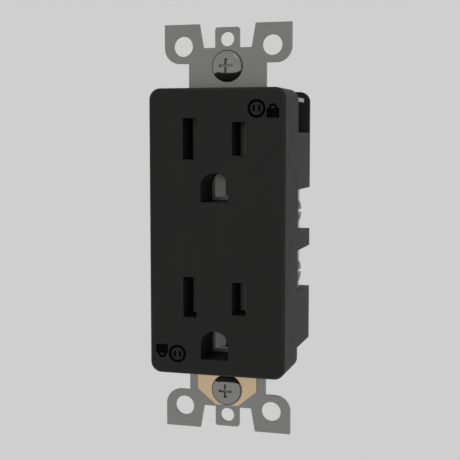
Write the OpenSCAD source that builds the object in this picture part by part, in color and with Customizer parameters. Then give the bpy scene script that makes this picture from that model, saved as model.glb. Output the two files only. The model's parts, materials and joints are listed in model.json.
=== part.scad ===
// Duplex wall outlet, decorator style, with safety shutters behind its slots.
// X runs left to right seen from the front, Y runs back into the wall box and Z is up.
// Origin: midway between the two device mounting screws, on the strap's rear face. Millimetres.

/* [Strap] */
// Distance between the two device mounting screws
mount_pitch = 83.34; // [83:0.01:83.7]
// Distance between the two wall plate screw holes
plate_pitch = 96.84; // [96.5:0.01:97.2]
// Length of the strap over its ears
strap_l = 104.6; // [104:0.1:106]
// Width of the strap over its ears
ear_span = 33.4; // [32:0.1:35]
// Width of the strap between face and ears
neck_w = 20.4; // [19.6:0.1:20.6]
// Thickness of the strap's sheet steel
strap_t = 0.8; // [0.75:0.05:0.9]
// Radius of a wall plate screw hole
plate_hole_r = 1.8; // [1.5:0.05:1.9]
// Radius of a hole in an ear
ear_hole_r = 2.55; // [2:0.05:2.9]

/* [Face] */
// Width of the face
face_w = 35; // [34.8:0.1:35.2]
// Height of the face
face_h = 71.7; // [71.5:0.1:71.9]
// How far the face stands in front of the strap
face_rise = 10; // [9.9:0.1:10.4]
// Depth of the cover's side walls behind the face
cover_depth = 14.5; // [14.3:0.1:14.6]
// Corner radius of the face
face_r = 2.8; // [2.4:0.1:3.6]
// Thickness of the cover's walls
wall = 1.6; // [1.5:0.05:1.65]

/* [Sockets] */
// Distance between the two outlets
outlet_pitch = 39.5; // [39.3:0.1:39.7]
// Distance between the two blades of a plug
blade_pitch = 12.7; // [12.5:0.05:12.9]
// Width of a blade slot
slot_w = 3.5; // [3:0.05:3.5]
// Height of the taller slot, on the neutral side
neutral_slot_h = 10.2; // [9:0.1:10.4]
// Height of the shorter slot, on the hot side
hot_slot_h = 8.2; // [7.5:0.1:8.6]
// Distance from the blades' centre down to the ground pin
pin_drop = 11.9; // [11.8:0.05:12]
// Radius of the ground pin's hole
pin_hole_r = 3.55; // [3.3:0.05:3.55]

/* [Rear housing] */
// Distance from the strap to the back of the housing
housing_back = 18.7; // [18.4:0.1:19]
// Width of the housing
housing_w = 34.9; // [34.7:0.1:35]
// Height of a side notch for a terminal
notch_h = 11.1; // [11:0.1:11.3]

/* [Shutters] */
// Travel of a shutter from closed to open
shutter_travel = 3.6; // [3.5:0.05:3.7]

/* [Hidden] */
$fn = 48;

// Colours
nylon_c = [0.14, 0.14, 0.137];
housing_c = [0.16, 0.16, 0.157];
steel_c = [0.46, 0.46, 0.45];
clip_c = [0.71, 0.64, 0.5];
brass_c = [0.78, 0.62, 0.33];
zinc_c = [0.7, 0.7, 0.69];
green_c = [0.1, 0.4, 0.2];
fibre_c = [0.62, 0.5, 0.36];
shutter_c = [0.68, 0.68, 0.67];

past = 1;           // how far a cutter runs past the face it opens
gap = 0.05;         // clearance between pieces that touch when assembled
screw_gap = 0.05;   // radial clearance round a screw's shank

// Depth planes, front to back
face_y = -strap_t - face_rise;
face_t = 2.2;
shell_y = face_y + face_t;
block_y = -3;
strap_y = -strap_t;
seat_y = strap_y - gap;
cover_back = face_y + cover_depth;
split_y = cover_back + gap;

// Strap outline
mount_z = mount_pitch / 2;
plate_z = plate_pitch / 2;
strap_top = strap_l / 2;
ear_z = 42.4;
ear_r = 4;
ear_hole_x = 11.7;
ear_hole_z = 46.75;
tab_w = 6.4;
tab_top = 51.4;
tab_r = 0.7;
tab_root = 46.3;
cleft_root_x = 6.35;
cleft_mouth_x = 7.4;
neck_top_z = 29.4;
neck_low_z = -34;
spine_w = 8;
pin_zone_w = 10.8;
pin_zone_h = 13.9;
pin_window = 5.8;
screw_slot_l = 6.4;
screw_slot_w = 4;

// Outlets and their blades
upper_z = 23.36;
lower_z = upper_z - outlet_pitch;
outlets = [upper_z, lower_z];
blade_x = blade_pitch / 2;
socket_x = -0.5;    // the sockets' centre line, left of the middle to make room for the ground terminal
pin_flat = 3.75;
pin_well_t = 0.9;

// Slot blocks, shutters and their carriers, measured from an outlet's centre
carrier_x = 14;
carrier_low = -7.35;
carrier_high = 6.2;
carrier_floor = 0.4;
chamber_x = [-13.2, 13.6];
chamber_z = 5.45;
lane_x = [-6.6, 5.4];
lane_z = [-6.75, -5.3];
shutter_x = [-13, 9.8];
shutter_y = [-2.5, -1.35];
shutter_z = 5.3;
shutter_window_w = 3.6;
ramp = 1.1;
lug_x = [-6.3, -5.3];
lug_low = -6.65;
spring_y = -1.9;
spring_z = -6.1;
spring_r = 0.5;
spring_wire = 0.2;

// Assembly screws
boss_z = [32, -3];
boss_r = 2.4;
assembly_r = 1.2;
assembly_head_r = 2.4;
assembly_head_y = 17;

// Rear housing
housing_low = -30.55;
housing_high = 35.75;
housing_r = 2.7;
pocket_x = 11.2;
pocket_z = 24.95;
back_t = 1.1;
plug_gap = 0.15;
tongue_x = 10.2;
tongue_z = 35.3;
well_x = 6;
well_low = -33.7;
well_back = 13;

// Terminals
terminal_z = [4.85, -10.8];
terminal_y = 6.65;
notch_x = 14;
flange_x = [14.2, 15];
plate_x = [15.1, 15.9];
plate_y = [split_y + 0.1, 13.1];
plate_half = 5.3;
shank_r = 1.75;
terminal_head_r = 2.7;
terminal_head_x = [15.98, 17.4];
shank_tip_x = 11.5;

// Contact bars
bar_x = [10.6, 11.4];
bar_y = [2, 9];
bar_z = [-19.6, 23.6];
clip_back = 11.2;
sheet_t = 0.8;
hot_clip_h = 7.6;
neutral_clip_h = 8.8;

// Ground terminal
bracket_z = [32.8, 33.8];
bracket_back = 12.7;
bracket_side_x = 14.6;
bracket_ear_x = 17;
bracket_ear_y = split_y + 0.1;
ground_y = 7.4;
ground_z = 29.4;
ground_flange_x = [11.4, 12.2];
ground_washer_x = [12.3, 13];
ground_head_x = [13.1, 14.7];
ground_head_r = 3;
ground_tip_x = 8.8;
foot_x = [5.4, 9.8];
foot_low = 29.6;
bracket_rivet = [7.6, 31.2];

// Ground contacts
contact_plate_w = 10.4;
contact_plate_h = 13.2;
contact_plate_y = [0.05, 0.65];
rivet_drop = 5.6;
rivet_r = 0.9;
rivet_head_r = 1.5;

// Mounting screws
mount_thread_r = 1.75;
mount_thread_y = 3.5;
mount_neck_r = 1.45;
mount_head_r = 4.05;
mount_tip_y = 17.8;
mount_tip_bevel = 0.7;
mount_head_h = 1.5;
cross_l = 4.9;
cross_w = 1.05;
cross_depth = 1.1;
retainer_w = 9.4;
retainer_y = [2.6, 3.4];
clip_sheet = 0.5;
clip_half_w = 7.9;
clip_shoulder_z = -41.75;
clip_end_x = 3;
clip_end_z = -45.75;
clip_top_z = -33.4;

// Marks on the face
mark_depth = 0.5;
mark_line = 0.7;
mark_x = 12;
mark_z = 30.7;

// Box from its lowest corner to its highest corner
module span(low, high) {
    translate(low) cube(high - low);
}

// Round bar along X
module rod_x(y, z, r, x0, x1) {
    translate([x0, y, z]) rotate([0, 90, 0]) cylinder(r = r, h = x1 - x0);
}

// Round bar along Y
module rod_y(x, z, r, y0, y1) {
    translate([x, y0, z]) rotate([-90, 0, 0]) cylinder(r = r, h = y1 - y0);
}

// Outline drawn in X and Z, made solid from y0 to y1
module plate_xz(y0, y1) {
    translate([0, y1, 0]) rotate([90, 0, 0]) linear_extrude(y1 - y0) children();
}

module round_rect(w, h, r) {
    square([w - 2 * r, h], center = true);
    square([w, h - 2 * r], center = true);
    for (x = [-1, 1], z = [-1, 1]) {
        translate([x * (w / 2 - r), z * (h / 2 - r)]) circle(r);
    }
}

// D-shaped hole for a ground pin, round at the top
module pin_outline(r, flat) {
    circle(r);
    translate([-r, -flat]) square([2 * r, flat]);
}

// Runs its children on the left side as they are on the right
module on_side(side) {
    if (side > 0) children();
    else mirror([1, 0, 0]) children();
}

// ---- Front cover ----

// Plug face in a ring and a closed padlock, side by side
module safety_mark() {
    ring_r = 2.3;
    bar_h = 1.5;
    lock_w = 3.2;
    lock_h = 2.3;
    shackle_r = 1.15;
    translate([-1.75, 0]) {
        difference() {
            circle(ring_r);
            circle(ring_r - mark_line);
        }
        for (x = [-0.7, 0.7]) {
            translate([x, 0.1]) square([mark_line - 0.1, bar_h], center = true);
        }
    }
    translate([2.35, -1.1]) {
        square([lock_w, lock_h], center = true);
        translate([0, lock_h / 2]) intersection() {
            difference() {
                circle(shackle_r);
                circle(shackle_r - mark_line + 0.1);
            }
            translate([-2, 0]) square([4, 2]);
        }
    }
}

module slot_cutters(y0, y1, extra) {
    for (z = outlets) {
        translate([socket_x, 0, z]) plate_xz(y0, y1) {
            translate([-blade_x, 0]) square([slot_w + extra, neutral_slot_h + extra], center = true);
            translate([blade_x, 0]) square([slot_w + extra, hot_slot_h + extra], center = true);
        }
    }
}

module front_cover() {
    inner_w = face_w - 2 * wall;
    inner_h = face_h - 2 * wall;
    end_low = face_h / 2 - wall - past;
    end_high = face_h / 2 + past;
    color(nylon_c) difference() {
        union() {
            difference() {
                plate_xz(face_y, cover_back) round_rect(face_w, face_h, face_r);
                plate_xz(shell_y, cover_back + past) round_rect(inner_w, inner_h, face_r - wall);
            }
            for (z = outlets) {
                translate([socket_x, 0, z]) {
                    span([-carrier_x, shell_y - past, carrier_low], [carrier_x, block_y, carrier_high]);
                    translate([0, 0, -pin_drop]) plate_xz(shell_y - past, seat_y) {
                        pin_outline(pin_hole_r + pin_well_t, pin_flat + pin_well_t);
                    }
                }
            }
            for (z = boss_z) rod_y(0, z, boss_r, shell_y - past, seat_y);
        }
        slot_cutters(face_y - past, block_y + past, 0);
        for (z = outlets) {
            translate([socket_x, 0, z - pin_drop]) {
                plate_xz(face_y - past, 0) pin_outline(pin_hole_r, pin_flat);
            }
        }
        for (z = boss_z) rod_y(0, z, assembly_r + gap, shell_y, 0);
        for (side = [-1, 1]) {
            span(
                [-neck_w / 2 - 0.15, seat_y, side > 0 ? end_low : -end_high],
                [neck_w / 2 + 0.15, cover_back + past, side > 0 ? end_high : -end_low]
            );
        }
        span(
            [-clip_half_w - 0.15, seat_y - clip_sheet - gap, -end_high],
            [clip_half_w + 0.15, 0, -end_low - past + 0.6]
        );
        for (turn = [0, 180]) {
            rotate([0, turn, 0]) translate([mark_x, 0, mark_z]) {
                plate_xz(face_y - past, face_y + mark_depth) safety_mark();
            }
        }
    }
}

// ---- Rear housing ----

// Seen from the front: round at the top like the cover, square at the bottom
module housing_outline() {
    half = housing_w / 2;
    translate([-half, housing_low]) square([housing_w, housing_high - housing_low - housing_r]);
    for (x = [-1, 1] * (half - housing_r)) translate([x, housing_high - housing_r]) circle(housing_r);
    translate([housing_r - half, housing_low]) {
        square([housing_w - 2 * housing_r, housing_high - housing_low]);
    }
}

module housing_blank() {
    plate_xz(split_y, housing_back) housing_outline();
    plate_xz(0.1, split_y + past) {
        round_rect(face_w - 2 * (wall + plug_gap), face_h - 2 * (wall + plug_gap), face_r - wall);
    }
    for (z = [33, -tongue_z]) span([-tongue_x, 0.1, z], [tongue_x, split_y - 0.1, z + tongue_z - 33]);
    span([-well_x, split_y, well_low], [well_x, well_back, housing_low + past]);
}

// Room for one side's contact bar, terminals and terminal screws
module housing_side_cuts(clip_shift) {
    span([4.5 + clip_shift, -past, -21.6], [8.4 + clip_shift, 12.2, 28.2]);
    span([7.8, -past, -20], [11.7, 12.2, 24.2]);
    for (z = terminal_z) {
        span([notch_x, split_y - past, z - notch_h / 2], [18, housing_back + past, z + notch_h / 2]);
        span([notch_x, -past, z - notch_h / 2], [15.3, split_y, z + notch_h / 2]);
        span([11.5, -past, z + 3.2], [notch_x + past, 9.2, z + 4.4]);
        rod_x(terminal_y, z, shank_r + 0.3, 11.4, notch_x + 0.5);
    }
}

// Pocket for the ground terminal, open to the right side, the front and the top
module ground_pocket_cuts() {
    span([pocket_x, -past, pocket_z], [housing_w, housing_back - back_t, housing_high + past]);
    span([5.2, -past, bracket_z[0] - 0.2], [pocket_x + 0.3, bracket_back + 0.4, 34]);
    span([5.2, -past, 29.4], [10, 1, 34]);
    rod_y(bracket_rivet[0], bracket_rivet[1], rivet_head_r + 0.2, 0, 1.6);
    rod_x(ground_y, ground_z, shank_r + 0.3, ground_tip_x - 0.3, 11.5);
}

module rear_housing() {
    color(housing_c) difference() {
        housing_blank();
        for (side = [-1, 1]) on_side(side) housing_side_cuts(side * socket_x);
        ground_pocket_cuts();
        for (z = outlets) {
            pin_z = z - pin_drop;
            span([socket_x - 3.9, -past, pin_z - 4.4], [socket_x + 3.9, 12.4, pin_z + 4.4]);
            span([socket_x - 5.4, -past, pin_z - 6.8], [socket_x + 5.4, 0.9, pin_z + 6.8]);
            for (s = [-1, 1]) rod_y(socket_x, pin_z + s * rivet_drop, rivet_head_r + 0.2, 0, 1.4);
        }
        for (z = boss_z) {
            rod_y(0, z, assembly_r + gap, -past, assembly_head_y + past);
            rod_y(0, z, assembly_head_r + 0.2, assembly_head_y, housing_back + past);
        }
        // Strip gauge: how much insulation to take off a wire
        span([-9, housing_back - 0.5, 20], [9, housing_back + past, 22]);
        span([-9, housing_back - 0.5, -21], [9, housing_back + past, -19]);
    }
}

// ---- Strap and grounding ----

module strap_end_outline() {
    translate([-neck_w / 2, 0]) square([neck_w, ear_z + past]);
    difference() {
        union() {
            translate([-ear_span / 2 + ear_r, ear_z]) square([ear_span - 2 * ear_r, strap_top - ear_z]);
            translate([-ear_span / 2, ear_z + ear_r]) square([ear_span, strap_top - ear_z - ear_r]);
            for (x = [-1, 1]) translate([x * (ear_span / 2 - ear_r), ear_z + ear_r]) circle(ear_r);
        }
        polygon([
            [-cleft_root_x, tab_root], [cleft_root_x, tab_root],
            [cleft_mouth_x, strap_top + 0.1], [-cleft_mouth_x, strap_top + 0.1]
        ]);
    }
    translate([-tab_w / 2, tab_root - 0.5]) square([tab_w, tab_top - tab_root + 0.5 - tab_r]);
    translate([-tab_w / 2 + tab_r, tab_root]) square([tab_w - 2 * tab_r, tab_top - tab_root]);
    for (x = [-1, 1]) translate([x * (tab_w / 2 - tab_r), tab_top - tab_r]) circle(tab_r);
}

module strap_outline() {
    difference() {
        strap_end_outline();
        translate([-ear_span, -past]) square([2 * ear_span, neck_top_z + past]);
    }
    difference() {
        mirror([0, 1]) strap_end_outline();
        translate([-ear_span, neck_low_z]) square([2 * ear_span, -neck_low_z + past]);
    }
    translate([-spine_w / 2, neck_low_z - past]) square([spine_w, neck_top_z - neck_low_z + 2 * past]);
    for (z = outlets) {
        translate([socket_x, z - pin_drop]) square([pin_zone_w, pin_zone_h], center = true);
    }
}

module screw_slot_outline() {
    half = (screw_slot_l - screw_slot_w) / 2;
    square([2 * half, screw_slot_w], center = true);
    for (x = [-half, half]) translate([x, 0]) circle(screw_slot_w / 2);
}

module mounting_strap() {
    color(steel_c) difference() {
        plate_xz(strap_y, 0) strap_outline();
        for (s = [-1, 1]) {
            rod_y(0, s * plate_z, plate_hole_r, strap_y - past, past);
            for (x = [-1, 1]) {
                rod_y(x * ear_hole_x, s * ear_hole_z, ear_hole_r, strap_y - past, past);
            }
            translate([0, 0, s * mount_z]) plate_xz(strap_y - past, past) screw_slot_outline();
        }
        for (z = outlets) {
            translate([socket_x, 0, z - pin_drop]) {
                plate_xz(strap_y - past, past) square([pin_window, pin_window], center = true);
                for (s = [-1, 1]) rod_y(0, s * rivet_drop, rivet_r, strap_y - past, past);
            }
        }
        for (z = boss_z) rod_y(0, z, assembly_r + 0.3, strap_y - past, past);
        rod_y(bracket_rivet[0], bracket_rivet[1], rivet_r, strap_y - past, past);
    }
}

// Plate under the lower mounting screw's head, which grounds the strap to the box through the screw
module grounding_clip() {
    color(clip_c) difference() {
        plate_xz(strap_y - clip_sheet, strap_y) polygon([
            [-clip_half_w, clip_top_z], [clip_half_w, clip_top_z], [clip_half_w, clip_shoulder_z],
            [clip_end_x, clip_end_z], [-clip_end_x, clip_end_z], [-clip_half_w, clip_shoulder_z]
        ]);
        rod_y(0, -mount_z, mount_thread_r + 0.35, strap_y - past, 0);
    }
}

// Half of a ground contact's cross-section: a leaf that nearly fills the window until a pin pushes it aside
module ground_leaf() {
    polygon([
        [3.5, contact_plate_y[0]], [2.85, contact_plate_y[0]], [0.6, 1.65], [0.8, 9.2],
        [1.35, 9.2], [1.2, 2], [3.15, contact_plate_y[1]], [3.5, contact_plate_y[1]]
    ]);
}

module ground_contact(z) {
    leaf_h = 5.2;
    color(zinc_c) translate([socket_x, 0, z - pin_drop]) {
        difference() {
            plate_xz(contact_plate_y[0], contact_plate_y[1]) difference() {
                square([contact_plate_w, contact_plate_h], center = true);
                square([pin_window, pin_window - 0.6], center = true);
            }
            for (s = [-1, 1]) rod_y(0, s * rivet_drop, rivet_r, -past, past);
        }
        for (side = [-1, 1]) on_side(side) {
            translate([0, 0, -leaf_h / 2]) linear_extrude(leaf_h) ground_leaf();
        }
    }
}

module rivet(x, z, back) {
    rod_y(x, z, rivet_r, strap_y, back);
    rod_y(x, z, rivet_head_r, back, back + 0.5);
}

module ground_contact_rivets() {
    color(zinc_c) for (z = outlets, s = [-1, 1]) {
        rivet(socket_x, z - pin_drop + s * rivet_drop, contact_plate_y[1]);
    }
}

// ---- Contact bars and terminals ----

// Cross-section of a clip that grips one flat blade: two leaves, flared at the mouth
module clip_outline() {
    polygon([
        [4.75, 0.8], [5.25, 0.8], [5.85, 3.2], [5.5, 10.4], [7.2, 10.4], [6.85, 3.2],
        [7.45, 0.8], [7.95, 0.8], [7.45, 3.2], [7.8, clip_back], [4.9, clip_back], [5.25, 3.2]
    ]);
}

module contact_bar(clip_h, clip_shift) {
    color(brass_c) difference() {
        union() {
            span([bar_x[0], bar_y[0], bar_z[0]], [bar_x[1], bar_y[1], bar_z[1]]);
            for (z = outlets) {
                translate([clip_shift, 0, z - clip_h / 2]) linear_extrude(clip_h) clip_outline();
                bridge_high = min(z + 3.4, bar_z[1]);
                span([7 + clip_shift, clip_back - sheet_t, z - 3.4], [bar_x[1], clip_back, bridge_high]);
                span([bar_x[0], bar_y[1] - past, z - 3.4], [bar_x[1], clip_back, bridge_high]);
            }
            for (z = terminal_z) {
                span([bar_x[1] - 0.4, 4, z + 3.4], [flange_x[1] - 0.4, 9, z + 4.2]);
                span([flange_x[0], plate_y[0], z - plate_half], [flange_x[1], plate_y[1], z + plate_half]);
            }
        }
        // The narrow neck that is broken off to feed the two outlets apart
        for (y = [[1, 4], [6.5, 10]]) span([10, y[0], -4.4], [12, y[1], -1.4]);
        for (z = terminal_z) {
            rod_x(terminal_y, z, shank_r + screw_gap, flange_x[0] - past, flange_x[1] + past);
        }
    }
}

module hot_contact_bar() {
    contact_bar(hot_clip_h, socket_x);
}

module neutral_contact_bar() {
    on_side(-1) contact_bar(neutral_clip_h, -socket_x);
}

// Clamp plate under a terminal screw's head, grooved on its inner face to hold the wires
module clamp_plate(z) {
    groove_drop = 3.5;
    groove_r = 1.1;
    groove_depth = 0.35;
    groove_x = plate_x[0] + groove_depth - groove_r;
    color(zinc_c) difference() {
        span([plate_x[0], plate_y[0], z - plate_half], [plate_x[1], plate_y[1], z + plate_half]);
        rod_x(terminal_y, z, shank_r + screw_gap, plate_x[0] - past, plate_x[1] + past);
        for (s = [-1, 1]) {
            rod_y(groove_x, z + s * groove_drop, groove_r, plate_y[0] - past, plate_y[1] + past);
        }
    }
}

module slotted_screw(y, z, head_r, head, tip) {
    bevel = 0.3;
    difference() {
        union() {
            rod_x(y, z, shank_r, tip + 0.5, head[0] + 0.1);
            translate([tip, y, z]) rotate([0, 90, 0]) cylinder(r1 = shank_r - 0.5, r2 = shank_r, h = 0.5);
            rod_x(y, z, head_r, head[0], head[1] - bevel);
            translate([head[1] - bevel, y, z]) rotate([0, 90, 0]) {
                cylinder(r1 = head_r, r2 = head_r - bevel, h = bevel);
            }
        }
        span([head[1] - 0.7, y - 5, z - 0.5], [head[1] + past, y + 5, z + 0.5]);
    }
}

module terminal_screw(z) {
    slotted_screw(terminal_y, z, terminal_head_r, terminal_head_x, shank_tip_x);
}

module hot_upper_clamp_plate() { clamp_plate(terminal_z[0]); }
module hot_lower_clamp_plate() { clamp_plate(terminal_z[1]); }
module neutral_upper_clamp_plate() { on_side(-1) clamp_plate(terminal_z[0]); }
module neutral_lower_clamp_plate() { on_side(-1) clamp_plate(terminal_z[1]); }
module hot_upper_terminal_screw() { color(zinc_c) terminal_screw(terminal_z[0]); }
module hot_lower_terminal_screw() { color(zinc_c) terminal_screw(terminal_z[1]); }
module neutral_upper_terminal_screw() { color(zinc_c) on_side(-1) terminal_screw(terminal_z[0]); }
module neutral_lower_terminal_screw() { color(zinc_c) on_side(-1) terminal_screw(terminal_z[1]); }

// ---- Ground terminal ----

module ground_terminal_bracket() {
    color(zinc_c) difference() {
        union() {
            span([foot_x[0], gap, bracket_z[0]], [bracket_side_x, bracket_back, bracket_z[1]]);
            span([foot_x[0], bracket_ear_y, bracket_z[0]], [bracket_ear_x, bracket_back, bracket_z[1]]);
            span([foot_x[0], gap, foot_low], [foot_x[1], gap + sheet_t, bracket_z[1]]);
            span([ground_flange_x[0], 2.8, 25.6], [ground_flange_x[1], bracket_back, bracket_z[1]]);
        }
        rod_y(bracket_rivet[0], bracket_rivet[1], rivet_r, -past, 2);
        rod_x(ground_y, ground_z, shank_r + screw_gap, 11, 12.5);
    }
}

module ground_bracket_rivet() {
    color(zinc_c) rivet(bracket_rivet[0], bracket_rivet[1], gap + sheet_t);
}

module ground_wire_washer() {
    color(zinc_c) difference() {
        span(
            [ground_washer_x[0], ground_y - 3.3, ground_z - 3.3],
            [ground_washer_x[1], ground_y + 3.3, ground_z + 3.3]
        );
        rod_x(ground_y, ground_z, shank_r + screw_gap, 12, 14);
    }
}

module ground_terminal_screw() {
    color(green_c) slotted_screw(ground_y, ground_z, ground_head_r, ground_head_x, ground_tip_x);
}

// ---- Mounting screws ----

// Captive screw: its neck is thinner than its thread, so the retainer can't slide off
module mounting_screw(z, seat) {
    rim_h = 0.6;
    dome_h = mount_head_h - rim_h;
    dome_r = (pow(mount_head_r, 2) + pow(dome_h, 2)) / (2 * dome_h);
    rim_y = seat - rim_h;
    color(zinc_c) difference() {
        union() {
            rod_y(0, z, mount_neck_r, seat - 0.1, mount_thread_y + 0.1);
            rod_y(0, z, mount_thread_r, mount_thread_y, mount_tip_y - mount_tip_bevel);
            translate([0, mount_tip_y - mount_tip_bevel, z]) rotate([-90, 0, 0]) {
                cylinder(r1 = mount_thread_r, r2 = mount_thread_r - mount_tip_bevel, h = mount_tip_bevel);
            }
            rod_y(0, z, mount_head_r, rim_y, seat);
            intersection() {
                translate([0, rim_y + dome_r - dome_h, z]) sphere(dome_r, $fn = 96);
                rod_y(0, z, mount_head_r, rim_y - dome_h - past, rim_y + 0.1);
            }
        }
        translate([0, 0, z]) plate_xz(seat - mount_head_h - past, seat - mount_head_h + cross_depth) {
            square([cross_l, cross_w], center = true);
            square([cross_w, cross_l], center = true);
        }
    }
}

module upper_mounting_screw() { mounting_screw(mount_z, strap_y - gap); }
module lower_mounting_screw() { mounting_screw(-mount_z, strap_y - clip_sheet - gap); }

// Square fibre washer that keeps a mounting screw from falling out of the strap
module screw_retainer(z) {
    color(fibre_c) difference() {
        translate([0, 0, z]) plate_xz(retainer_y[0], retainer_y[1]) round_rect(retainer_w, retainer_w, 1);
        rod_y(0, z, mount_neck_r + screw_gap, retainer_y[0] - past, retainer_y[1] + past);
    }
}

module upper_screw_retainer() { screw_retainer(mount_z); }
module lower_screw_retainer() { screw_retainer(-mount_z); }

// ---- Shutters ----

module shutter_carrier(z) {
    chamber_back = seat_y - carrier_floor;
    color(shutter_c) difference() {
        translate([socket_x, 0, z]) difference() {
            span([-carrier_x, block_y + gap, carrier_low], [carrier_x, seat_y, carrier_high]);
            span([chamber_x[0], block_y - past, -chamber_z], [chamber_x[1], chamber_back, chamber_z]);
            span([lane_x[0], block_y - past, lane_z[0]], [lane_x[1], chamber_back, lane_z[1]]);
        }
        slot_cutters(block_y, 0, 0.4);
    }
}

// Cross-section of a window in a shutter, with the ramp that a blade pushes on
module shutter_window(x) {
    polygon([
        [x - shutter_window_w / 2, shutter_y[0] - past],
        [x + shutter_window_w / 2 + ramp + past, shutter_y[0] - past],
        [x + shutter_window_w / 2 + ramp, shutter_y[0]],
        [x + shutter_window_w / 2, shutter_y[1] - 0.2],
        [x + shutter_window_w / 2, shutter_y[1] + past],
        [x - shutter_window_w / 2, shutter_y[1] + past]
    ]);
}

module shutter(z) {
    color(shutter_c) translate([socket_x, 0, z]) difference() {
        union() {
            span([shutter_x[0], shutter_y[0], -shutter_z], [shutter_x[1], shutter_y[1], shutter_z]);
            span([lug_x[0], shutter_y[0], lug_low], [lug_x[1], shutter_y[1], 0]);
        }
        for (x = [[-blade_x, neutral_slot_h], [blade_x, hot_slot_h]]) {
            translate([0, 0, -x[1] / 2]) linear_extrude(x[1]) shutter_window(x[0] - shutter_travel);
        }
    }
}

module shutter_spring(z) {
    color(zinc_c) translate([socket_x, 0, z]) difference() {
        rod_x(spring_y, spring_z, spring_r, lug_x[1], lane_x[1]);
        rod_x(spring_y, spring_z, spring_r - spring_wire, lug_x[1] - past, lane_x[1] + past);
    }
}

module upper_shutter_carrier() { shutter_carrier(upper_z); }
module lower_shutter_carrier() { shutter_carrier(lower_z); }
module upper_shutter() { shutter(upper_z); }
module lower_shutter() { shutter(lower_z); }
module upper_shutter_spring() { shutter_spring(upper_z); }
module lower_shutter_spring() { shutter_spring(lower_z); }

// ---- Assembly screws ----

module assembly_screws() {
    color(zinc_c) for (z = boss_z) difference() {
        union() {
            rod_y(0, z, assembly_r, shell_y + 1, assembly_head_y + 0.1);
            rod_y(0, z, assembly_head_r, assembly_head_y, housing_back - 0.3);
        }
        translate([0, 0, z]) plate_xz(assembly_head_y + 0.5, housing_back + past) {
            square([3, 0.6], center = true);
            square([0.6, 3], center = true);
        }
    }
}

front_cover();
rear_housing();
mounting_strap();
grounding_clip();
ground_contact(upper_z);  // upper_ground_contact
ground_contact(lower_z);  // lower_ground_contact
ground_contact_rivets();
hot_contact_bar();
neutral_contact_bar();
hot_upper_clamp_plate();
hot_lower_clamp_plate();
neutral_upper_clamp_plate();
neutral_lower_clamp_plate();
hot_upper_terminal_screw();
hot_lower_terminal_screw();
neutral_upper_terminal_screw();
neutral_lower_terminal_screw();
ground_terminal_bracket();
ground_bracket_rivet();
ground_wire_washer();
ground_terminal_screw();
upper_mounting_screw();
lower_mounting_screw();
upper_screw_retainer();
lower_screw_retainer();
upper_shutter_carrier();
lower_shutter_carrier();
upper_shutter();
lower_shutter();
upper_shutter_spring();
lower_shutter_spring();
assembly_screws();
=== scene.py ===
"""Looks of the duplex wall outlet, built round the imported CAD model.

Sizes are named in millimetres and turned into metres with MM. X runs right, Y back into the wall and Z up.
"""

import json
import math

import bmesh
import bpy
from mathutils import Matrix, Vector


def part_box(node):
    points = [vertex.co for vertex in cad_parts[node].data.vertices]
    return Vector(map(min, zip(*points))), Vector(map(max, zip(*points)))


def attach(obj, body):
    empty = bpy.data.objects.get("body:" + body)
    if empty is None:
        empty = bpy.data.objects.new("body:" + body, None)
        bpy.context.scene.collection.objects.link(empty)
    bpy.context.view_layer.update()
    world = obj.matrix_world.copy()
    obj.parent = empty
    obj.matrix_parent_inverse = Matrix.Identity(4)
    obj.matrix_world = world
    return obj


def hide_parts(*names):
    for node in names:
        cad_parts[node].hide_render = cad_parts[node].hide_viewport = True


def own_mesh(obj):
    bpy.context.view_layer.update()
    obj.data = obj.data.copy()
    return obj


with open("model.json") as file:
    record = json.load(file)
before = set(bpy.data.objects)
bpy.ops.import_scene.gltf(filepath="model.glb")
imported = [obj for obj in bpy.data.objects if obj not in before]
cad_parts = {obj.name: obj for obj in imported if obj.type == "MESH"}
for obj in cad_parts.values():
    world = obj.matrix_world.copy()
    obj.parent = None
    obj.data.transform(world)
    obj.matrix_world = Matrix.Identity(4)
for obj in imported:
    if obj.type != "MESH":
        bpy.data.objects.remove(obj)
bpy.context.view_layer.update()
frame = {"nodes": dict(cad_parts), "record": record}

MM = 0.001
BODY_OF = {n: body for body, nodes in frame["record"]["behaviour"]["bodies"].items() for n in nodes}
SLOT_OF = {row["node"]: row["material_slot"] for row in frame["record"]["subparts"]}

# ---- Camera ----

CAMERA_AT = Vector((71.43, -246.1, 24.1)) * MM
CAMERA_YAW = math.radians(16.08)
CAMERA_DIP = math.radians(5.38)
CAMERA_LENS = 78.26


def add_camera():
    """The camera stands a little right of and above the outlet, with its verticals upright."""
    data = bpy.data.cameras.new("camera")
    data.lens = CAMERA_LENS
    data.sensor_width = 36
    data.clip_start = 0.01
    camera = bpy.data.objects.new("camera", data)
    camera.location = CAMERA_AT
    camera.rotation_euler = (math.pi / 2 - CAMERA_DIP, 0, CAMERA_YAW)
    bpy.context.scene.collection.objects.link(camera)
    bpy.context.scene.camera = camera


# ---- Node materials ----

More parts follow.
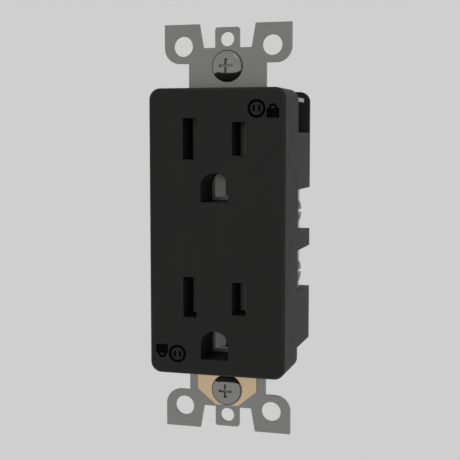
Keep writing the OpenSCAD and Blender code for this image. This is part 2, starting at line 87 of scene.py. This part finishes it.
class Graph:
    """A material's node tree, with short calls for the patterns that the finishes share."""

    def __init__(self, name):
        self.material = bpy.data.materials.new(name)
        self.material.use_nodes = True
        self.tree = self.material.node_tree
        self.shader = self.tree.nodes["Principled BSDF"]
        self.place = self.add("ShaderNodeTexCoord").outputs["Object"]

    def add(self, kind, **settings):
        made = self.tree.nodes.new(kind)
        for key, value in settings.items():
            setattr(made, key, value)
        return made

    def link(self, source, target):
        self.tree.links.new(source, target)

    def stretched(self, stretch):
        """Object coordinates, scaled along each axis."""
        mapping = self.add("ShaderNodeMapping")
        mapping.inputs["Scale"].default_value = stretch
        self.link(self.place, mapping.inputs["Vector"])
        return mapping.outputs["Vector"]

    def noise(self, scale, detail=3, stretch=(1, 1, 1), roughness=0.5):
        made = self.add("ShaderNodeTexNoise")
        made.inputs["Scale"].default_value = scale
        made.inputs["Detail"].default_value = detail
        made.inputs["Roughness"].default_value = roughness
        self.link(self.stretched(stretch), made.inputs["Vector"])
        return made.outputs["Fac"]

    def cells(self, scale):
        made = self.add("ShaderNodeTexVoronoi", feature="SMOOTH_F1")
        made.inputs["Scale"].default_value = scale
        self.link(self.place, made.inputs["Vector"])
        return made.outputs["Distance"]

    def remap(self, source, from_low, from_high, to_low, to_high):
        made = self.add("ShaderNodeMapRange")
        ends = {"From Min": from_low, "From Max": from_high, "To Min": to_low, "To Max": to_high}
        for key, value in ends.items():
            made.inputs[key].default_value = value
        self.link(source, made.inputs["Value"])
        return made.outputs["Result"]

    def blend(self, factor, first, second):
        """Mixes two colours, each a tuple or a socket."""
        made = self.add("ShaderNodeMix", data_type="RGBA")
        self.link(factor, made.inputs["Factor"])
        for key, value in (("A", first), ("B", second)):
            socket = [s for s in made.inputs if s.name == key and s.type == "RGBA"][0]
            if isinstance(value, tuple):
                socket.default_value = (*value, 1)
            else:
                self.link(value, socket)
        return [s for s in made.outputs if s.type == "RGBA"][0]

    def layer(self, name):
        """A value painted on the mesh's points when it was made."""
        return self.add("ShaderNodeAttribute", attribute_name=name).outputs["Fac"]

    def bump(self, height, depth, strength=1.0, under=None):
        made = self.add("ShaderNodeBump")
        made.inputs["Distance"].default_value = depth
        made.inputs["Strength"].default_value = strength
        self.link(height, made.inputs["Height"])
        if under is not None:
            self.link(under, made.inputs["Normal"])
        return made.outputs["Normal"]

    def set(self, **values):
        for key, value in values.items():
            self.shader.inputs[key.replace("_", " ")].default_value = value


def tinted(colour, factor):
    """A colour made darker or lighter."""
    return tuple(c * factor for c in colour)


def plastic(name, colour, rough, grain=1.0, ior=1.4):
    """Moulded plastic: fine spark-eroded grain, faint flow marks and slightly rubbed edges.

    Points on the shade layer are painted darker and barely shine: painted shade in engravings and deep
    sockets.
    """
    g = Graph(name)
    flow = g.noise(70, 2, (1, 1, 0.3))
    speck = g.noise(5200, 2)
    shade = g.blend(g.remap(flow, 0.35, 0.65, 0, 1), tinted(colour, 0.96), tinted(colour, 1.04))
    shade = g.blend(g.remap(speck, 0.45, 0.75, 0, 0.25), shade, tinted(colour, 1.5))
    shade = g.blend(g.remap(g.layer("worn"), 0, 1, 0, 0.6), shade, tinted(colour, 1.5))
    # painted shade: darkens the points on the shade layer
    shade = g.blend(g.layer("painted_shade"), shade, tinted(colour, 0.15))
    g.link(shade, g.shader.inputs["Base Color"])
    g.link(g.remap(g.noise(260, 4), 0.3, 0.7, rough - 0.02, rough + 0.02), g.shader.inputs["Roughness"])
    coarse = g.bump(g.noise(45, 1), 0.00005, 0.1 * grain)
    fine = g.bump(g.cells(4200), 0.000025, 0.3 * grain, coarse)
    g.link(fine, g.shader.inputs["Normal"])
    # painted shade: the shade layer also takes away most of the shine
    g.link(g.remap(g.layer("painted_shade"), 0, 1, 0.5, 0.05), g.shader.inputs["Specular IOR Level"])
    g.set(IOR=ior)
    return g.material


def metal(name, colour, rough, along=(1, 1, 1), grain=0.3, metallic=1.0):
    """Rolled or plated metal: grain drawn out in one direction, cloudy tarnish, fine scratches, rubbed edges.

    Points on the shade layer are painted dark: painted shade and painted dark reflection on screw heads.
    """
    g = Graph(name)
    grain_lines = g.noise(900, 4, along)
    cloud = g.noise(110, 3)
    scratch = g.noise(420, 2, (1, 6, 0.12))
    shade = g.blend(g.remap(cloud, 0.3, 0.7, 0, 1), tinted(colour, 0.95), tinted(colour, 1.02))
    shade = g.blend(g.remap(grain_lines, 0.35, 0.75, 0, 0.4), shade, tinted(colour, 0.9))
    shade = g.blend(g.layer("worn"), shade, tinted(colour, 1.12))
    # painted shade and painted dark reflection: darkens the points on the shade layer
    shade = g.blend(g.layer("painted_shade"), shade, tinted(colour, 0.04))
    g.link(shade, g.shader.inputs["Base Color"])
    g.link(g.remap(cloud, 0.25, 0.75, rough * 0.9, rough * 1.15), g.shader.inputs["Roughness"])
    lines = g.bump(grain_lines, 0.00001, grain)
    marks = g.bump(g.remap(scratch, 0.7, 0.74, 0, 1), 0.000004, grain, lines)
    g.link(marks, g.shader.inputs["Normal"])
    g.set(Metallic=metallic)
    return g.material


def fibre(name, colour):
    """Pressed fibre board: tangled light and dark strands and a soft surface."""
    g = Graph(name)
    strands = g.noise(1500, 5, (1, 1, 0.25), 0.7)
    crossing = g.noise(1500, 5, (0.25, 1, 1), 0.7)
    shade = g.blend(g.remap(strands, 0.35, 0.65, 0, 1), tinted(colour, 0.7), tinted(colour, 1.25))
    shade = g.blend(g.remap(crossing, 0.5, 0.7, 0, 0.6), shade, tinted(colour, 0.55))
    g.link(shade, g.shader.inputs["Base Color"])
    g.link(g.bump(strands, 0.00004, 0.6, g.bump(crossing, 0.00004, 0.6)), g.shader.inputs["Normal"])
    g.set(Roughness=0.9)
    return g.material


def make_materials():
    """One finish for each of the record's material slots."""
    return {
        "black_nylon": plastic("black_nylon", (0.0205, 0.0201, 0.0196), 0.5, 1.0, 1.27),
        "black_housing": plastic("black_housing", (0.0205, 0.0201, 0.0196), 0.5, 1.3, 1.26),
        "strap_steel": metal("strap_steel", (0.39, 0.388, 0.382), 0.4, (0.15, 1, 4)),
        "clip_metal": metal("clip_metal", (1.0, 0.77, 0.49), 0.4, (0.15, 1, 4)),
        "brass": metal("brass", (0.83, 0.6, 0.28), 0.3, (4, 1, 0.15)),
        "contact_tin": metal("contact_tin", (0.62, 0.62, 0.61), 0.8, (4, 1, 0.15), metallic=0.1),
        "zinc_steel": metal("zinc_steel", (0.5, 0.5, 0.495), 0.28, (1, 4, 0.15)),
        "screw_nickel": metal("screw_nickel", (0.39, 0.388, 0.382), 0.07, (3, 0.3, 3), 0.1),
        "terminal_nickel": metal("terminal_nickel", (0.55, 0.545, 0.535), 0.18, (3, 3, 0.3), 0.15),
        "green_screw": metal("green_screw", (0.05, 0.36, 0.13), 0.3, (1, 3, 3), 0.2),
        "fibre": fibre("fibre", (0.36, 0.25, 0.14)),
        "shutter_plastic": plastic("shutter_plastic", (0.19, 0.189, 0.186), 0.4, 0.7, 1.4),
        "spring_steel": metal("spring_steel", (0.55, 0.55, 0.56), 0.3, (1, 1, 1)),
    }


# ---- Mesh work ----

SHARP = math.radians(25)


def cad_mesh(node):
    """A CAD node's mesh, welded, with each flat face whole again."""
    bm = bmesh.new()
    bm.from_mesh(frame["nodes"][node].data)
    bmesh.ops.remove_doubles(bm, verts=bm.verts, dist=0.002 * MM)
    bmesh.ops.dissolve_limit(bm, angle_limit=math.radians(0.4), verts=bm.verts, edges=bm.edges)
    bmesh.ops.recalc_face_normals(bm, faces=bm.faces)
    return bm


def sharp_edges(bm, wanted=None):
    """Edges where two faces meet at an angle, among those that wanted(edge) picks."""
    return [
        e for e in bm.edges
        if len(e.link_faces) == 2 and e.calc_face_angle(0) > SHARP and (wanted is None or wanted(e))
    ]


def round_edges(bm, width, wanted=None, segments=3):
    """Bevels edges, and paints the layer "worn" along the middle of each new band that stands proud."""
    edges = sharp_edges(bm, wanted)
    if not edges:
        return
    made = bmesh.ops.bevel(
        bm, geom=edges, offset=width * MM, offset_type="OFFSET", segments=segments,
        profile=0.5, affect="EDGES", clamp_overlap=True,
    )
    band = set(made["faces"])
    worn = bm.verts.layers.float.get("worn") or bm.verts.layers.float.new("worn")
    for v in {v for face in band for v in face.verts}:
        if all(face in band for face in v.link_faces) and any(e.is_convex for e in v.link_edges):
            v[worn] = 1.0


def as_piece(bm, name, node, materials):
    """Turns a mesh into a piece that stands for a CAD node, rides on its body and wears its finish."""
    bmesh.ops.dissolve_degenerate(bm, edges=bm.edges, dist=0.0005 * MM)
    for face in bm.faces:
        face.smooth = True
    for edge in bm.edges:
        edge.smooth = not (len(edge.link_faces) == 2 and edge.calc_face_angle(0) > math.radians(40))
    mesh = bpy.data.meshes.new(name)
    bm.to_mesh(mesh)
    bm.free()
    return dress(bpy.data.objects.new(name, mesh), node, materials)


def dress(piece, node, materials):
    """Puts a piece in the scene, in its finish, riding on its CAD node's body in that node's place."""
    bpy.context.scene.collection.objects.link(piece)
    piece.data.materials.clear()
    piece.data.materials.append(materials[SLOT_OF[node]])
    weighted = piece.modifiers.new("weighted_normals", "WEIGHTED_NORMAL")
    weighted.keep_sharp = True
    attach(piece, BODY_OF[node])
    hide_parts(node)
    return piece


def softened(node, width, materials):
    """A piece with the CAD node's shape and every edge rounded."""
    bm = cad_mesh(node)
    round_edges(bm, width)
    return as_piece(bm, node + "_piece", node, materials)


def lathe(profile, steps=64):
    """A closed solid turned about Z from (radius, height) pairs in mm that start and end on the axis."""
    bm = bmesh.new()
    rings = []
    for radius, height in profile:
        if radius < 1e-6:
            rings.append([bm.verts.new((0, 0, height * MM))])
            continue
        rings.append([on_circle(bm, radius, 2 * math.pi * i / steps, height) for i in range(steps)])
    for low, high in zip(rings, rings[1:]):
        join_rings(bm, low, high)
    bmesh.ops.recalc_face_normals(bm, faces=bm.faces)
    return bm


def on_circle(bm, radius, angle, height):
    """A new point on a circle about Z, sizes in mm."""
    return bm.verts.new((radius * MM * math.cos(angle), radius * MM * math.sin(angle), height * MM))


def join_rings(bm, low, high):
    """Joins two rings of points with faces, where either may be a single point."""
    steps = max(len(low), len(high))
    for i in range(steps):
        j = (i + 1) % steps
        corners = [low[i % len(low)], low[j % len(low)], high[j % len(high)], high[i % len(high)]]
        bm.faces.new(list(dict.fromkeys(corners)))


SUNK = 0.3  # how far a rod reaches up into its screw head


def threaded_rod(length, outer, inner, pitch, neck_r, neck_l, steps=40, rows_per_turn=10):
    """A closed rod along -Z from z = 0, sizes in mm: a neck, a right-hand thread and a tapered tip."""
    bm = bmesh.new()
    count = int(length / pitch * rows_per_turn)
    rings = [[bm.verts.new((0, 0, SUNK * MM))]]
    for row in range(count + 1):
        depth = length * row / count
        ring = []
        for i in range(steps):
            phase = (-depth / pitch - i / steps) % 1
            crest = max(0.0, min(1.0, 2.4 * (0.5 - abs(phase - 0.5)) - 0.1))
            radius = neck_r if depth < neck_l else inner + (outer - inner) * crest
            radius = min(radius, inner - 0.35 + (length - depth) * 0.75)
            ring.append(on_circle(bm, radius, 2 * math.pi * i / steps, -depth))
        rings.append(ring)
    rings.insert(1, [bm.verts.new((v.co.x, v.co.y, SUNK * MM)) for v in rings[1]])
    rings.append([bm.verts.new((0, 0, -length * MM))])
    for low, high in zip(rings, rings[1:]):
        join_rings(bm, low, high)
    bmesh.ops.recalc_face_normals(bm, faces=bm.faces)
    return bm


def tapered_box(size, top, floor_scale, depth):
    """A cutter that narrows downwards from its open top, sizes in mm."""
    bm = bmesh.new()

    def ring(scale, level):
        corners = [(-1, -1), (1, -1), (1, 1), (-1, 1)]
        return [bm.verts.new((
            x * size[0] / 2 * scale[0] * MM, y * size[1] / 2 * scale[1] * MM, level * MM
        )) for x, y in corners]

    low = ring(floor_scale, top - depth)
    high = ring((1, 1), top + 1)
    bm.faces.new(low[::-1])
    bm.faces.new(high)
    for i in range(4):
        j = (i + 1) % 4
        bm.faces.new((low[i], low[j], high[j], high[i]))
    return bm


def paint_shade(bm, shade_at):
    """Paints shade on a screw that stands along Z: each point's painted shade comes from its radius and
    height in mm.
    """
    layer = bm.verts.layers.float.new("painted_shade")
    for v in bm.verts:
        v[layer] = shade_at(math.hypot(v.co.x, v.co.y) / MM, v.co.z / MM)


def scratch_object(bm):
    """A helper object for the boolean steps, which combined() removes again."""
    mesh = bpy.data.meshes.new("scratch")
    bm.to_mesh(mesh)
    bm.free()
    made = bpy.data.objects.new("scratch", mesh)
    bpy.context.scene.collection.objects.link(made)
    return made


def combined(base, tools):
    """The mesh of base after each (operation, mesh) of tools, worked out exactly."""
    body = scratch_object(base)
    helpers = []
    for operation, bm in tools:
        helper = scratch_object(bm)
        helpers.append(helper)
        step = body.modifiers.new(operation, "BOOLEAN")
        step.operation = operation
        step.solver = "EXACT"
        step.object = helper
    bpy.context.view_layer.update()
    made = bpy.data.meshes.new_from_object(body.evaluated_get(bpy.context.evaluated_depsgraph_get()))
    out = bmesh.new()
    out.from_mesh(made)
    bpy.data.meshes.remove(made)
    for helper in helpers + [body]:
        bpy.data.objects.remove(helper)
    return out


def toward(direction, at):
    """Places a screw that was made along Z, with its seat at a point and its head facing a direction."""
    turned = Vector(direction).to_track_quat("Z", "Y").to_matrix().to_4x4()
    return Matrix.Translation(at) @ turned


# ---- Pieces ----

FACE_CORNER = 2.8
FACE_EDGE = 0.7
MOUTH_EDGE = 0.16
MARK_EDGE = 0.07
MARK_CORNER = (7, 27)  # the engraved marks lie further out than this, across and up
MARK_DEPTH = 0.6
SOCKET_AREA = (14.5, 32)  # the sockets lie further in than this
CLOSE = 0.02


def corner_distance(point, high):
    """How far a point stands outside the cover's rounded corner, in metres, or below nought inside it."""
    radius = FACE_CORNER * MM
    x = abs(point.x) - (high.x - radius)
    z = abs(point.z) - (high.z - radius)
    if x < 0 or z < 0:
        return -radius
    return math.hypot(x, z) - radius


def front_cover(materials):
    """The moulded face: soft outer edge, crisp socket mouths with painted shade on their walls, fine edges
    round the marks, and painted shade in the engraved marks.
    """
    node = "front_cover"
    low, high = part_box(node)
    bm = cad_mesh(node)

    def on_face(edge):
        return all(v.co.y < low.y + CLOSE * MM for v in edge.verts)

    def is_rim(edge):
        return any(abs(v.co.x) > high.x - CLOSE * MM or abs(v.co.z) > high.z - CLOSE * MM or
                   corner_distance(v.co, high) > -0.05 * MM for v in edge.verts)

    def near_mark(point):
        side = 1 if point.z > 0 else -1
        return point.x * side > MARK_CORNER[0] * MM and point.z * side > MARK_CORNER[1] * MM

    def in_mark(edge):
        return near_mark(edge.verts[0].co) and all(v.co.y < low.y + MARK_DEPTH * MM for v in edge.verts)

    def in_socket(point):
        across = abs(point.x) < SOCKET_AREA[0] * MM and abs(point.z) < SOCKET_AREA[1] * MM
        return across and point.y > low.y + 0.12 * MM

    # painted shade in the engraved marks, below the face
    painted_shade = bm.verts.layers.float.new("painted_shade")
    for v in bm.verts:
        engraved = low.y + 0.1 * MM < v.co.y < low.y + MARK_DEPTH * MM
        v[painted_shade] = 1.0 if engraved and near_mark(v.co) else 0.0
    round_edges(bm, FACE_EDGE, lambda e: on_face(e) and is_rim(e), 5)
    round_edges(bm, MARK_EDGE, lambda e: in_mark(e) and not is_rim(e), 2)
    round_edges(bm, MOUTH_EDGE, lambda e: on_face(e) and not in_mark(e) and not is_rim(e), 3)
    # painted shade on every point inside the sockets, behind the face
    for v in bm.verts:
        if in_socket(v.co):
            v[bm.verts.layers.float["painted_shade"]] = 1.0
    return as_piece(bm, "front_cover_shell", node, materials)


MOUNT_HEAD_R = 4.02
MOUNT_HEAD_H = 1.48
MOUNT_RIM = 0.22
MOUNT_NECK_R = 1.42
MOUNT_THREAD_Y = 3.5
MOUNT_RECESS = (4.4, 0.9)
MOUNT_RECESS_DEPTH = 1.0
RECESS_SHADE = 0.32
THREAD_R = 1.73
THREAD_ROOT_R = 1.36
THREAD_PITCH = 0.794


def dome_profile(radius, height, rim, edge=0.08, steps=10):
    """Half outline of a low domed head whose seat is at height nought."""
    rise = height - rim
    sphere = (radius ** 2 + rise ** 2) / (2 * rise)
    points = [(0, 0), (radius - edge, 0), (radius, edge), (radius, rim - edge / 2)]
    for i in range(1, steps):
        r = radius * (1 - i / steps) * 0.985
        points.append((r, height - sphere + math.sqrt(sphere ** 2 - r ** 2)))
    return points + [(0, height)]


def mounting_screw(end, materials):
    """6-32 captive screw: low polished dome with a painted dark reflection on its rim, cross recess with
    painted shade deep inside, and a neck thinner than the thread.
    """
    node = end + "_mounting_screw"
    low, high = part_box(node)
    seat_y = low.y / MM + MOUNT_HEAD_H + 0.02
    head = lathe(dome_profile(MOUNT_HEAD_R, MOUNT_HEAD_H, MOUNT_RIM), 72)
    rod = threaded_rod(
        high.y / MM - seat_y, THREAD_R, THREAD_ROOT_R, THREAD_PITCH, MOUNT_NECK_R, MOUNT_THREAD_Y - seat_y)
    long, wide = MOUNT_RECESS
    wing_shapes = (((long, wide), (0.7, 0.6)), ((wide, long), (0.6, 0.7)))
    wings = [tapered_box(size, MOUNT_HEAD_H, taper, MOUNT_RECESS_DEPTH) for size, taper in wing_shapes]
    bm = combined(head, [("UNION", rod)] + [("DIFFERENCE", wing) for wing in wings])

    def shade_at(r, z):
        # painted dark reflection round the rim, painted shade deep in the cross recess
        if r > MOUNT_HEAD_R - 0.3 and -0.1 < z < MOUNT_RIM:
            return 1.0
        return RECESS_SHADE if r < long / 2 and 0 < z < MOUNT_HEAD_H - 0.4 else 0.0

    paint_shade(bm, shade_at)
    seat = Vector(((low.x + high.x) / 2, seat_y * MM, (low.z + high.z) / 2))
    bm.transform(toward((0, -1, 0), seat))
    return as_piece(bm, node + "_piece", node, materials)


TERMINAL_HEAD = (2.68, 1.4)
GROUND_HEAD = (2.98, 1.58)
TERMINAL_SHADE = 0.8
SLOT_WIDTH = 0.95
SLOT_DEPTH = 0.7


def slotted_screw(node, outward, head_r, head_h, materials, painted_shade=TERMINAL_SHADE):
    """Terminal screw: slotted head that is chamfered in steps, with a painted dark reflection on top, and a
    right-hand thread.
    """
    low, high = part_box(node)
    across = (high.x - low.x) / MM
    outline = [
        (0, 0), (head_r - 0.1, 0), (head_r, 0.1), (head_r, head_h * 0.62), (head_r * 0.94, head_h * 0.84),
        (head_r * 0.8, head_h * 0.95), (head_r * 0.6, head_h), (0, head_h)
    ]
    rod = threaded_rod(across - head_h, THREAD_R, THREAD_ROOT_R, THREAD_PITCH, THREAD_R, 0.2)
    slot_cut = tapered_box((2 * head_r + 2, SLOT_WIDTH), head_h, (1, 0.92), SLOT_DEPTH)
    bm = combined(lathe(outline, 64), [("UNION", rod), ("DIFFERENCE", slot_cut)])
    # painted dark reflection on the head's top
    paint_shade(bm, lambda r, z: painted_shade if z > head_h - 0.3 else 0.0)
    face_x = high.x if outward > 0 else low.x
    seat = Vector((face_x - outward * head_h * MM, (low.y + high.y) / 2, (low.z + high.z) / 2))
    slot_along_y = Matrix(((0, 0, outward), (1, 0, 0), (0, outward, 0))).to_4x4()
    bm.transform(Matrix.Translation(seat) @ slot_along_y)
    return as_piece(bm, node + "_piece", node, materials)


SPRING_TURNS = 11
SPRING_WIRE = 0.13
SPRING_CROWDING = 0.045  # how far the coils close up toward the ends


def shutter_spring(end, materials):
    """Wire compression spring with closed ends, made at the length of its CAD node's box."""
    node = end + "_shutter_spring"
    low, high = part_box(node)
    coil_r = (high.z - low.z) / 2 - SPRING_WIRE * MM
    length = high.x - low.x - 2 * SPRING_WIRE * MM
    centre = (low + high) / 2
    steps, sides = SPRING_TURNS * 24, 8
    bm = bmesh.new()
    rings = []
    for i in range(steps + 1):
        t = i / steps
        angle = 2 * math.pi * SPRING_TURNS * t
        eased = t - SPRING_CROWDING * math.sin(2 * math.pi * t)
        out = Vector((0, math.cos(angle), math.sin(angle)))
        middle = Vector((low.x + SPRING_WIRE * MM + length * eased, centre.y, centre.z)) + out * coil_r
        ring = []
        for k in range(sides):
            a = 2 * math.pi * k / sides
            ring.append(bm.verts.new(
                middle + (out * math.cos(a) + Vector((1, 0, 0)) * math.sin(a)) * SPRING_WIRE * MM))
        rings.append(ring)
    for first, second in zip(rings, rings[1:]):
        join_rings(bm, first, second)
    bm.faces.new(rings[0])
    bm.faces.new(rings[-1])
    bmesh.ops.recalc_face_normals(bm, faces=bm.faces)
    piece = as_piece(bm, node + "_piece", node, materials)
    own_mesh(piece)
    return piece


# Width of the rounded edges, in mm, on the pieces that keep their CAD node's shape.
EDGE_WIDTHS = {
    "rear_housing": 0.25, "mounting_strap": 0.14, "grounding_clip": 0.1,
    "upper_ground_contact": 0.1, "lower_ground_contact": 0.1, "ground_contact_rivets": 0.15,
    "hot_contact_bar": 0.1, "neutral_contact_bar": 0.1,
    "hot_upper_clamp_plate": 0.14, "hot_lower_clamp_plate": 0.14,
    "neutral_upper_clamp_plate": 0.14, "neutral_lower_clamp_plate": 0.14,
    "ground_terminal_bracket": 0.12, "ground_bracket_rivet": 0.15, "ground_wire_washer": 0.12,
    "upper_screw_retainer": 0.1, "lower_screw_retainer": 0.1,
    "upper_shutter_carrier": 0.08, "lower_shutter_carrier": 0.08,
    "upper_shutter": 0.08, "lower_shutter": 0.08, "assembly_screws": 0.12,
}


def build_pieces(materials):
    """Every piece of the outlet."""
    front_cover(materials)
    for node, width in EDGE_WIDTHS.items():
        softened(node, width, materials)
    for end in ("upper", "lower"):
        mounting_screw(end, materials)
        shutter_spring(end, materials)
        slotted_screw("hot_" + end + "_terminal_screw", 1, *TERMINAL_HEAD, materials)
        slotted_screw("neutral_" + end + "_terminal_screw", -1, *TERMINAL_HEAD, materials)
    slotted_screw("ground_terminal_screw", 1, *GROUND_HEAD, materials, painted_shade=0.0)


# ---- Studio ----

PALE = 0.624
ROOM_LIGHT = 0.48
FLOOR_LIGHT = 0.5
FLOOR_HALF = 6
FLOOR_LEVEL = -0.4


def soft_glow(tree, kind, output, light):
    """An even glow that is PALE where the camera sees it, and lights the outlet with its own strength."""
    tree.nodes.clear()
    strength = tree.nodes.new("ShaderNodeMapRange")
    strength.inputs["To Min"].default_value = light
    strength.inputs["To Max"].default_value = PALE
    glow = tree.nodes.new(kind)
    glow.inputs["Color"].default_value = (1, 1, 1, 1)
    seen = tree.nodes.new("ShaderNodeLightPath").outputs["Is Camera Ray"]
    tree.links.new(seen, strength.inputs["Value"])
    tree.links.new(strength.outputs["Result"], glow.inputs["Strength"])
    tree.links.new(glow.outputs[0], tree.nodes.new(output).inputs["Surface"])


def add_floor():
    """A wide pale floor, well below the outlet."""
    half, level = FLOOR_HALF, FLOOR_LEVEL
    corners = [(-half, -half, level), (half, -half, level), (half, half, level), (-half, half, level)]
    mesh = bpy.data.meshes.new("floor")
    mesh.from_pydata(corners, [], [(0, 1, 2, 3)])
    material = bpy.data.materials.new("floor_pale")
    material.use_nodes = True
    soft_glow(material.node_tree, "ShaderNodeEmission", "ShaderNodeOutputMaterial", FLOOR_LIGHT)
    mesh.materials.append(material)
    floor = bpy.data.objects.new("floor", mesh)
    bpy.context.scene.collection.objects.link(floor)


def add_world():
    """The even room all round the outlet."""
    world = bpy.data.worlds.new("studio")
    bpy.context.scene.world = world
    world.use_nodes = True
    soft_glow(world.node_tree, "ShaderNodeBackground", "ShaderNodeOutputWorld", ROOM_LIGHT)


def add_light(name, place, size, power, mirrored=True):
    """A soft square light that faces the outlet, and that polished metal may or may not mirror."""
    data = bpy.data.lights.new(name, "AREA")
    data.shape = "SQUARE"
    data.size = size
    data.energy = power
    lamp = bpy.data.objects.new(name, data)
    lamp.location = place
    lamp.visible_glossy = mirrored
    lamp.rotation_euler = (-Vector(place)).to_track_quat("-Z", "Y").to_euler()
    bpy.context.scene.collection.objects.link(lamp)


def build_studio():
    """The room, the floor, a faint light from above and one from the front that reaches into the sockets."""
    bpy.context.scene.view_settings.view_transform = "Standard"
    add_world()
    add_floor()
    add_light("key", (0.5, -0.6, 0.9), 0.6, 0.15)
    add_light("front_fill", (0.17, -1.0, 0.14), 0.2, 1.1, mirrored=False)


add_camera()
build_studio()
build_pieces(make_materials())
